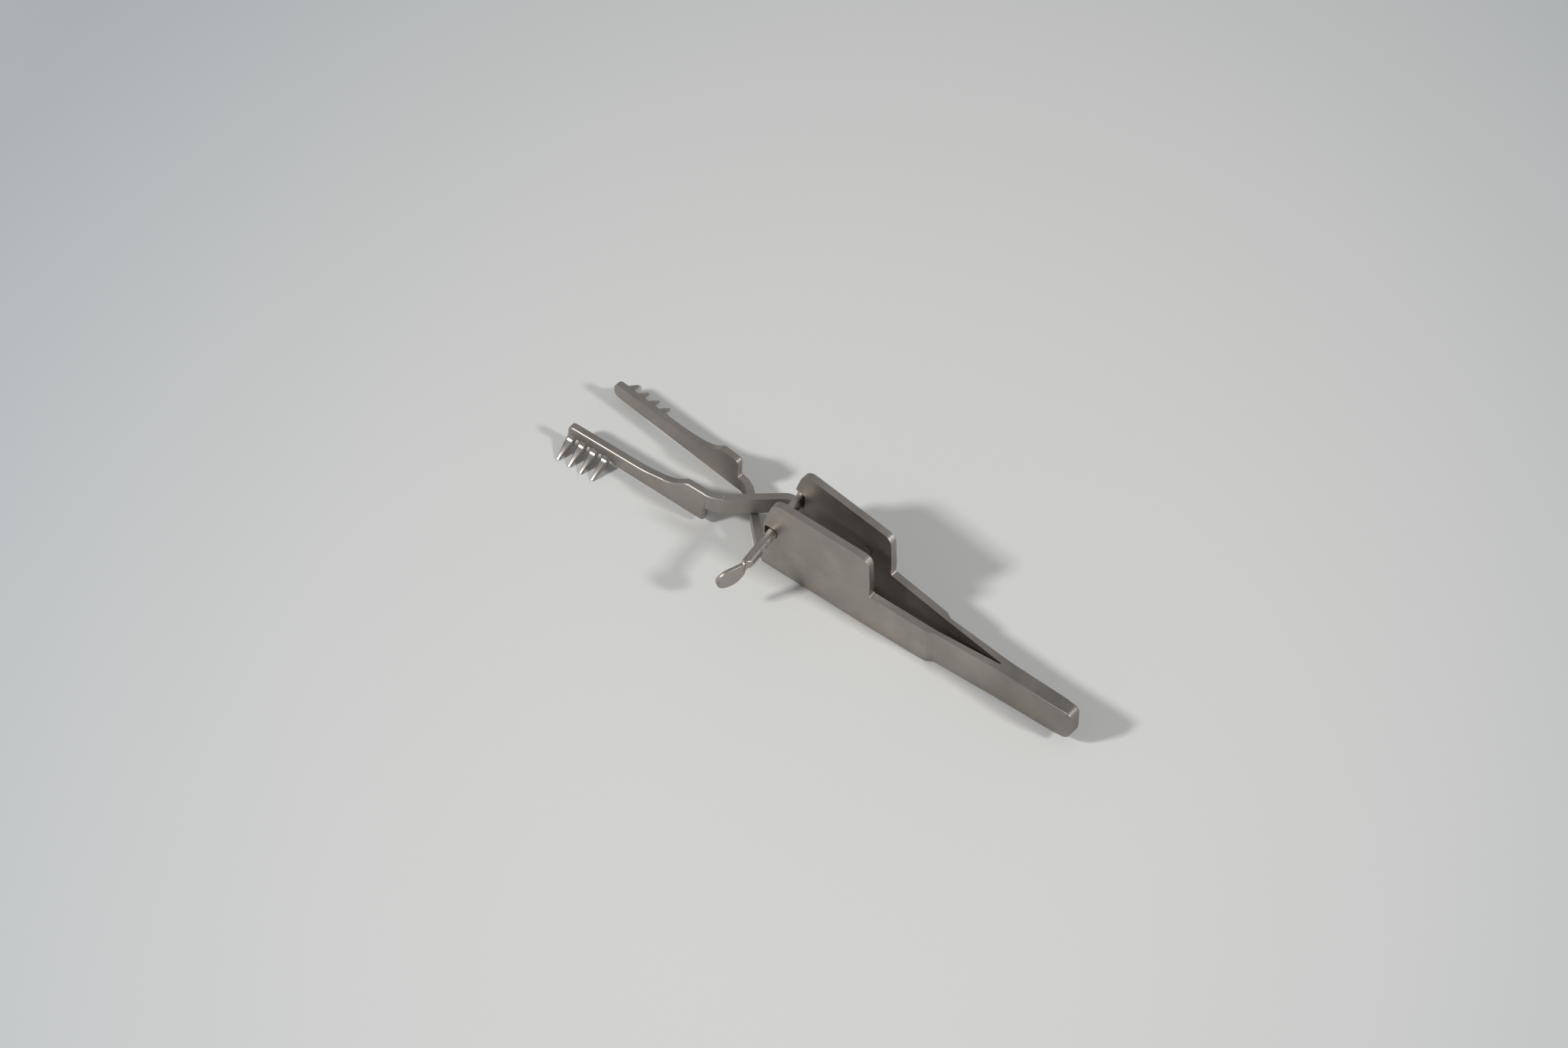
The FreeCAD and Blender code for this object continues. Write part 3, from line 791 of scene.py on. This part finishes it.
    def clear_below_prongs(self, arm: bpy.types.Object, jaw_slope: float) -> None:
        """Cut the near jaw's band up to the height at which its prongs are bent out.

        Args:
            arm: The arm, already bent in plan.
            jaw_slope: The jaw's turn away from the middle plane, in radians.
        """
        rear = -self.claw_inset - (self.claw_count - 1) * self.claw_pitch - 0.5 * Claw.width - 0.35
        tool = block("clearance", Vector((rear, -1.5, 0.5)), Vector((1.0, 1.5, self.band_bottom)))
        with Bench(tool) as bench:
            bench.pick_verts(lambda v: v.z > 2.0 and v.x < rear + 0.01)
            bench.move(x=0.3)
            bench.pick_verts(lambda v: v.z < 2.0 and v.x < rear + 0.01)
            bench.move(x=-2.4)
        tip_y = -(self.jaw_front_y + self.sheet / 2)
        turn = Matrix.Rotation(-jaw_slope, 4, "Z")
        set_down(tool, Matrix.Translation((self.jaw_front_x, tip_y, 0.0)) @ turn)
        combine(arm, tool, "DIFFERENCE")

    def mirror(self, arm: bpy.types.Object) -> None:
        """Turn the left-hand arm into a right-hand one."""
        with Bench(arm):
            bpy.ops.mesh.select_all(action="SELECT")
            bpy.ops.transform.resize(value=(1.0, -1.0, 1.0), center_override=(0.0, 0.0, 0.0))
            bpy.ops.mesh.normals_make_consistent(inside=False)

    def cut_slot(self, arm: bpy.types.Object) -> None:
        """Cut the ratchet bar's slot through the left finger plate, aslant as the bar runs."""
        lean = math.tan(math.radians(RatchetBar.lean))
        rear_x, front_x = 63.03, 65.86
        face_y, inward, outward = 5.05, 3.0, 1.0
        low = Vector((rear_x, face_y - inward, 9.3))
        tool = block("slot", low, Vector((front_x, face_y + outward, 11.9)))
        with Bench(tool) as bench:
            bench.pick_edges(lambda a, b: abs(a.y - b.y) > 1.0 and a.x < rear_x + 1.0)
            bench.bevel(1.1, 10)
            bench.pick_edges(lambda a, b: abs(a.y - b.y) > 1.0 and a.x > front_x - 0.05, sharp=60.0)
            bench.bevel(0.55, 5)
            bench.pick_verts(lambda v: v.y < face_y)
            bench.move(x=inward * lean)
            bench.pick_verts(lambda v: v.y > face_y)
            bench.move(x=-outward * lean)
        combine(arm, tool, "DIFFERENCE")

    def cut_notch(self, arm: bpy.types.Object) -> None:
        """Cut the ratchet bar's window out of the right finger plate's front edge."""
        tool = block("notch", Vector((63.7, -7.0, 9.3)), Vector((66.55, -2.5, 13.3)))
        with Bench(tool) as bench:
            bench.pick_edges(lambda a, b: abs(a.y - b.y) > 1.0 and a.x < 64.0)
            bench.bevel(0.6, 5)
        combine(arm, tool, "DIFFERENCE")


@dataclass
class RatchetBar:
    """The toothed bar with its thumb paddle and its foot in the leaf spring."""

    pivot_x: float = 65.45
    pivot_y: float = -5.315
    lean: float = 6.2
    low: float = 9.5
    height: float = 2.2
    front_u: float = 0.65
    back_u: float = -0.62
    tip_u: float = -1.2
    back_round: float = 1.02
    front_round: float = 0.42
    pitch: float = 1.55
    tooth_count: int = 8
    root_v: float = 0.45
    block_v: float = 15.065
    end_v: float = 18.965
    block_sweep: float = 0.8
    paddle_thickness: float = 0.9
    paddle_turn: float = 27.7
    rim_round: float = 0.22
    tooth_round: float = 0.045
    land: float = 0.42
    end_round: float = 0.26

    def build(self, setting: Setting) -> bpy.types.Object:
        """Model the bar and set it in the row's frame.

        Args:
            setting: Where the lying frame is.

        Returns:
            The finished bar.
        """
        bar = block(
            "toothed_bar", Vector((self.tip_u, self.root_v, self.low)),
            Vector((self.front_u, self.end_v, self.low + self.height)))
        with Bench(bar) as bench:
            bench.pick_edges(lambda a, b: abs(a.y - b.y) > 1.0 and a.x < 0.0)
            bench.bevel(self.back_round, 10)
            bench.pick_edges(lambda a, b: abs(a.y - b.y) > 1.0 and a.x > self.front_u - 0.01, sharp=80.0)
            bench.bevel(self.front_round, 5)
            self.draw_paddle(bench)
        self.mill_teeth(bar)
        with Bench(bar) as bench:
            bench.pick_edges(lambda a, b: a.y < self.end_v and b.y < self.end_v, sharp=42.0)
            bench.bevel(self.tooth_round, 2, clamp=False)
        self.add_foot(bar)
        turn = Matrix.Rotation(math.radians(self.lean), 4, "Z")
        set_down(bar, Matrix.Translation((self.pivot_x, self.pivot_y, 0.0)) @ turn)
        finish_surface(bar)
        setting.place(bar)
        return bar

    def draw_paddle(self, bench: Bench) -> None:
        """Sweep off the block's rear end, and draw the thumb paddle out of what is left of its end face."""
        paddle_back = self.front_u - self.paddle_thickness
        under_v = self.end_v - 1.1
        bench.cut_all(Vector((0.0, under_v, 0.0)), Vector((0.0, 1.0, 0.0)))
        bench.pick_faces(lambda c, n: c.y > under_v)
        bench.cut(Vector((paddle_back, 0.0, 0.0)), Vector((1.0, 0.0, 0.0)))
        corner = Vector((self.tip_u, self.end_v - self.block_sweep, 0.0))
        sweep = Vector((paddle_back, self.end_v, 0.0)) - corner
        bench.cut_off(corner, Vector((-sweep.y, sweep.x, 0.0)))
        middle = self.low + self.height / 2
        bench.pick_verts(lambda v: v.y > self.end_v - 0.05 and v.z < middle and v.x > paddle_back - 0.01)
        bench.move(z=-0.6)
        bench.pick_faces(lambda c, n: n.y > 0.9 and c.x > paddle_back)
        turn = math.radians(self.paddle_turn)
        knee_u = self.front_u - self.paddle_thickness / 2
        bench.turn(turn / 2, (knee_u, self.end_v, middle))
        at = bench.middle()
        for i, (run, bottom, top) in enumerate(self.paddle_stations()):
            picked = [vert.co.z for vert in bench.mesh().verts if vert.select]
            tall = max(picked) - min(picked)
            u = knee_u + run * math.sin(turn)
            v = self.end_v + 0.3 + run * math.cos(turn)
            mid = (bottom + top) / 2
            bench.extrude(x=u - at.x, y=v - at.y, z=mid - (max(picked) + min(picked)) / 2)
            if i == 0:
                bench.turn(turn / 2, (u, v, mid))
            bpy.ops.transform.resize(value=(1.0, 1.0, (top - bottom) / tall), center_override=(u, v, mid))
            at = Vector((u, v, mid))
        beyond = self.end_v + 0.2
        bench.pick_edges(lambda a, b: a.y > beyond and b.y > beyond, sharp=60.0)
        bench.bevel(self.rim_round, 4, clamp=False)
        sweep.normalize()
        across = Vector((-sweep.y, sweep.x, 0.0))

        def on_sweep(a: Vector, b: Vector) -> bool:
            """Tell whether an edge bounds the swept end, apart from the paddle's back."""
            flat = max(abs((a - corner).dot(across)), abs((b - corner).dot(across))) < 0.06
            return flat and min(a.x, b.x) < paddle_back - 0.02 and max(a.y, b.y) < self.end_v + 0.05

        bench.pick_edges(on_sweep, sharp=20.0)
        bench.bevel(self.end_round, 4, clamp=False)

    def paddle_stations(self) -> list[tuple[float, float, float]]:
        """Return the paddle's outline as its run, lower edge and upper edge, with an oval end."""
        flare_length, flare, bottom, top = 2.4, 1.59, 6.8, 11.42
        oval_start, oval_length, oval_middle, oval_half = 3.0, 2.36, 9.035, 2.235
        stations = []
        for i in range(9):
            run = flare_length * i / 8
            stations.append((run, bottom + flare * (1 - run / flare_length) ** 2, top - 0.05 * run))
        for i in range(12):
            swing = math.radians(6.9 * i)
            falloff = oval_start + oval_length * math.sin(swing)
            tall = oval_half * math.cos(swing)
            stations.append((falloff, oval_middle - tall, oval_middle + tall))
        return stations

    def mill_teeth(self, bar: bpy.types.Object) -> None:
        """Cut the ratchet's grooves across the rounded back, with one cutter that is stepped along."""
        out_u = self.tip_u - 0.3
        run = (self.pitch - self.land) * (self.back_u - out_u) / (self.back_u - self.tip_u)
        low = self.low - 0.5
        high = self.low + self.height + 0.5
        start = Vector((out_u, self.block_v - run, low))
        cutter = block("cutter", start, Vector((self.back_u, self.block_v, high)))
        with Bench(cutter) as bench:
            bench.pick_verts(lambda v: v.x > out_u + 0.1 and v.y < self.block_v - 0.1)
            bench.move(x=out_u - self.back_u)
            bpy.ops.mesh.select_all(action="SELECT")
            bpy.ops.mesh.remove_doubles(threshold=0.001)
            bpy.ops.mesh.normals_make_consistent(inside=False)
        for i in range(self.tooth_count):
            combine(bar, repeat(cutter, Matrix.Translation((0.0, -i * self.pitch, 0.0))), "DIFFERENCE")
        bpy.data.objects.remove(cutter, do_unlink=True)
        last_v = self.block_v - self.tooth_count * self.pitch - 0.1
        relief = block("relief", Vector((out_u, self.root_v - 1.0, low)), Vector((self.back_u, last_v, high)))
        combine(bar, relief, "DIFFERENCE")

    def add_foot(self, bar: bpy.types.Object) -> None:
        """Add the tenon through the leaf spring and its peened head."""
        middle = self.low + self.height / 2
        tenon = block("tenon", Vector((-0.35, -0.5, middle - 0.65)), Vector((0.35, 0.7, middle + 0.65)))
        combine(bar, tenon, "UNION")
        head = block("head", Vector((-0.9, -0.66, middle - 0.9)), Vector((0.9, -0.33, middle + 0.9)))
        with Bench(head) as bench:
            bench.pick_edges(lambda a, b: a.y < -0.6 and b.y < -0.6)
            bench.bevel(0.18, 3)
        combine(bar, head, "UNION")


@dataclass
class Weld:
    """The filled end of the slot between the two sheets."""

    rear_x: float = 14.5
    front_x: float = 16.7
    half_gap: float = 0.15
    bottom: float = 0.9
    top: float = 8.951
    rear_rise: float = 0.072

    def build(self, setting: Setting) -> bpy.types.Object:
        """Model the filling, just inside the two sheets' edges.

        Args:
            setting: Where the lying frame is.

        Returns:
            The finished filling.
        """
        weld = block(
            "slot_end", Vector((self.rear_x, -self.half_gap, self.bottom)),
            Vector((self.front_x, self.half_gap, self.top)))
        with Bench(weld) as bench:
            bench.pick_verts(lambda v: v.x < self.front_x - 1.0 and v.z > self.top - 1.0)
            bench.move(z=self.rear_rise)
        finish_surface(weld)
        setting.place(weld)
        return weld


@dataclass(frozen=True)
class SatinSteel:
    """Satin stainless steel, mottled and finely grained, darker on the tail and smoother on the prongs."""

    name: str
    colour: tuple[float, float, float]
    roughness: float = 0.42
    grain: float = 0.25
    mottle: float = 0.12
    tail_tone: float = 0.80
    tail_ends: tuple[float, float] = (-0.043, -0.030)
    ground_points: float = 0.22
    points_below: tuple[float, float] = (0.0034, 0.0027)
    points_ahead: tuple[float, float] = (0.0435, 0.0450)

    def build(self) -> bpy.types.Material:
        """Make the material's nodes.

        Returns:
            The finished material.
        """
        material = bpy.data.materials.new(self.name)
        material.use_nodes = True
        tree = material.node_tree
        nodes = tree.nodes
        links = tree.links
        shader = nodes["Principled BSDF"]
        shader.inputs["Metallic"].default_value = 1.0
        place = nodes.new("ShaderNodeTexCoord")

        cloud = nodes.new("ShaderNodeTexNoise")
        cloud.inputs["Scale"].default_value = 160.0
        cloud.inputs["Detail"].default_value = 5.0
        cloud.inputs["Roughness"].default_value = 0.6
        links.new(place.outputs["Object"], cloud.inputs["Vector"])
        tone = nodes.new("ShaderNodeValToRGB")
        dark = tuple(c * (1 - self.mottle) for c in self.colour)
        light = tuple(min(1.0, c * (1 + self.mottle)) for c in self.colour)
        tone.color_ramp.elements[0].position = 0.3
        tone.color_ramp.elements[1].position = 0.7
        tone.color_ramp.elements[0].color = (*dark, 1.0)
        tone.color_ramp.elements[1].color = (*light, 1.0)
        links.new(cloud.outputs["Fac"], tone.inputs["Fac"])
        parts = nodes.new("ShaderNodeSeparateXYZ")
        links.new(place.outputs["Object"], parts.inputs["Vector"])
        toward_tail = map_range(tree, parts.outputs["X"], self.tail_ends, (self.tail_tone, 1.0), smooth=True)
        shade = nodes.new("ShaderNodeVectorMath")
        shade.operation = "SCALE"
        links.new(tone.outputs["Color"], shade.inputs[0])
        links.new(toward_tail, shade.inputs["Scale"])
        links.new(shade.outputs["Vector"], shader.inputs["Base Color"])

        grain = nodes.new("ShaderNodeTexNoise")
        grain.inputs["Scale"].default_value = 9000.0
        grain.inputs["Detail"].default_value = 3.0
        links.new(place.outputs["Object"], grain.inputs["Vector"])
        spread = (self.roughness - 0.07, self.roughness + 0.07)
        rough = map_range(tree, cloud.outputs["Fac"], result=spread)
        low = map_range(tree, parts.outputs["Z"], self.points_below)
        ahead = map_range(tree, parts.outputs["X"], self.points_ahead, (0.0, -self.ground_points))
        ground = nodes.new("ShaderNodeMath")
        ground.operation = "MULTIPLY_ADD"
        for socket, value in zip(ground.inputs, (low, ahead, rough)):
            links.new(value, socket)
        links.new(ground.outputs["Value"], shader.inputs["Roughness"])
        bump = nodes.new("ShaderNodeBump")
        bump.inputs["Strength"].default_value = self.grain
        bump.inputs["Distance"].default_value = 0.00001
        links.new(grain.outputs["Fac"], bump.inputs["Height"])
        links.new(bump.outputs["Normal"], shader.inputs["Normal"])
        return material


@dataclass(frozen=True)
class Tabletop:
    """The pale floor with a painted light falloff: a little darker and cooler away from the instrument,
    sooner along one slant.
    """

    colour: tuple[float, float, float] = (0.585, 0.582, 0.565)
    falloff_colour: tuple[float, float, float] = (0.393, 0.417, 0.435)
    middle: tuple[float, float] = (-0.0173, -0.0027)
    slant: float = 0.492
    squeeze: float = 0.652
    start: float = 0.0365
    end: float = 0.309
    hold: float = 0.63

    def build(self) -> bpy.types.Object:
        """Lay the floor under the instrument.

        Returns:
            The floor, which is part of the stage.
        """
        bpy.ops.mesh.primitive_plane_add(size=6.0, location=(0.0, 0.0, 0.0))
        floor = bpy.context.object
        floor.name = "tabletop"
        material = bpy.data.materials.new("pale tabletop")
        material.use_nodes = True
        tree = material.node_tree
        nodes = tree.nodes
        links = tree.links
        shader = nodes["Principled BSDF"]
        shader.inputs["Roughness"].default_value = 0.75
        shader.inputs["Specular IOR Level"].default_value = 0.2
        place = nodes.new("ShaderNodeTexCoord")
        oval = nodes.new("ShaderNodeMapping")
        oval.vector_type = "TEXTURE"
        oval.inputs["Location"].default_value = (*self.middle, 0.0)
        oval.inputs["Rotation"].default_value = (0.0, 0.0, self.slant)
        oval.inputs["Scale"].default_value = (1.0, 1.0 / self.squeeze, 1.0)
        links.new(place.outputs["Object"], oval.inputs["Vector"])
        length = nodes.new("ShaderNodeVectorMath")
        length.operation = "LENGTH"
        links.new(oval.outputs["Vector"], length.inputs[0])
        # Painted light falloff: the floor's colour fades from the lit colour near the instrument to a darker,
        # cooler painted-shade colour farther out.
        falloff = map_range(tree, length.outputs["Value"], (self.start, self.end), smooth=True)
        tone = nodes.new("ShaderNodeValToRGB")
        tone.color_ramp.elements[1].position = self.hold
        tone.color_ramp.elements[0].color = (*self.colour, 1.0)
        tone.color_ramp.elements[1].color = (*self.falloff_colour, 1.0)
        links.new(falloff, tone.inputs["Fac"])
        links.new(tone.outputs["Color"], shader.inputs["Base Color"])
        floor.data.materials.append(material)
        return floor


@dataclass(frozen=True)
class Studio:
    """Two soft lamps, a dim panel, a dim room and the photograph's camera."""

    main_direction: tuple[float, float, float] = (0.644, 1.021, 1.0)
    main_power: float = 6.8
    main_size: float = 0.11
    second_direction: tuple[float, float, float] = (-1.276, -0.2235, 1.0)
    second_power: float = 4.75
    second_size: float = 0.12
    panel_direction: tuple[float, float, float] = (0.36, -0.48, 0.80)
    panel_power: float = 0.24
    panel_size: float = 0.9
    room: tuple[float, float, float] = (0.315, 0.322, 0.33)
    lens: float = 105.47
    position: tuple[float, float, float] = (-230.77, 392.69, 661.93)
    forward: tuple[float, float, float] = (0.3617, -0.4795, -0.7995)
    right: tuple[float, float, float] = (-0.7731, -0.6335, 0.0303)
    up: tuple[float, float, float] = (0.5211, -0.6072, 0.5999)

    def lamp(self, name: str, direction: tuple[float, float, float], power: float, size: float) -> None:
        """Add a soft lamp that faces the instrument.

        Args:
            name: The lamp's name.
            direction: From the instrument towards the lamp.
            power: The lamp's power in watts.
            size: The side of its square face in metres.
        """
        data = bpy.data.lights.new(name, "AREA")
        data.energy = power
        data.size = size
        obj = bpy.data.objects.new(name, data)
        away = Vector(direction).normalized()
        obj.location = away
        obj.rotation_euler = away.to_track_quat("Z", "Y").to_euler()
        bpy.context.collection.objects.link(obj)

    def build(self, setting: Setting) -> None:
        """Set up the lamps, the room's light and the camera.

        Args:
            setting: Where the lying frame is.
        """
        self.lamp("main lamp", self.main_direction, self.main_power, self.main_size)
        self.lamp("second lamp", self.second_direction, self.second_power, self.second_size)
        self.lamp("dim panel", self.panel_direction, self.panel_power, self.panel_size)
        scene = bpy.context.scene
        world = bpy.data.worlds.new("room")
        world.use_nodes = True
        background = world.node_tree.nodes["Background"]
        background.inputs["Color"].default_value = (*self.room, 1.0)
        background.inputs["Strength"].default_value = 1.0
        scene.world = world
        scene.view_settings.view_transform = "Standard"

        data = bpy.data.cameras.new("camera")
        data.lens = self.lens
        data.sensor_width = 36.0
        data.clip_start = 0.01
        camera = bpy.data.objects.new("camera", data)
        turn = Matrix((self.right, self.up, tuple(-c for c in self.forward))).transposed()
        camera.matrix_world = Matrix.Translation(setting.to_row(*self.position)) @ turn.to_4x4()
        bpy.context.collection.objects.link(camera)
        scene.camera = camera


def dress(obj: bpy.types.Object, material: bpy.types.Material) -> None:
    """Give a piece one material all over.

    Args:
        obj: The piece, or a node that is kept.
        material: Its finish.
    """
    obj.data.materials.clear()
    obj.data.materials.append(material)
    log.info("%s: %d vertices", obj.name, len(obj.data.vertices))


def main() -> None:
    """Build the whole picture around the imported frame."""
    logging.basicConfig(level=logging.INFO, format="%(name)s: %(message)s")
    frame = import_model()
    setting = Setting()
    setting.find(frame["joints"])

    satin = SatinSteel("satin steel", (0.365, 0.335, 0.303), roughness=0.46).build()
    bright = SatinSteel("bar steel", (0.42, 0.388, 0.356), roughness=0.42, mottle=0.08).build()
    spring = SatinSteel("spring steel", (0.43, 0.41, 0.38), roughness=0.36).build()

    arms = [
        SheetArm(Crossing.UNDER, "left", ("left_arm", "handle_tail")),
        SheetArm(Crossing.OVER, "right", ("right_arm", "handle_tail")),
    ]
    for arm in arms:
        piece = arm.build(setting)
        dress(piece, satin)
        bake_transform(piece)
        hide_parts(*arm.nodes)

    bar = RatchetBar().build(setting)
    dress(bar, bright)
    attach(bar, "ratchet")
    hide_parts("ratchet_bar")

    weld = Weld().build(setting)
    dress(weld, satin)
    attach(weld, "tail")

    dress(frame["nodes"]["leaf_spring"], spring)
    dress(frame["nodes"]["spring_rivet"], satin)

    Tabletop().build()
    Studio().build(setting)


if __name__ == "__main__":
    main()
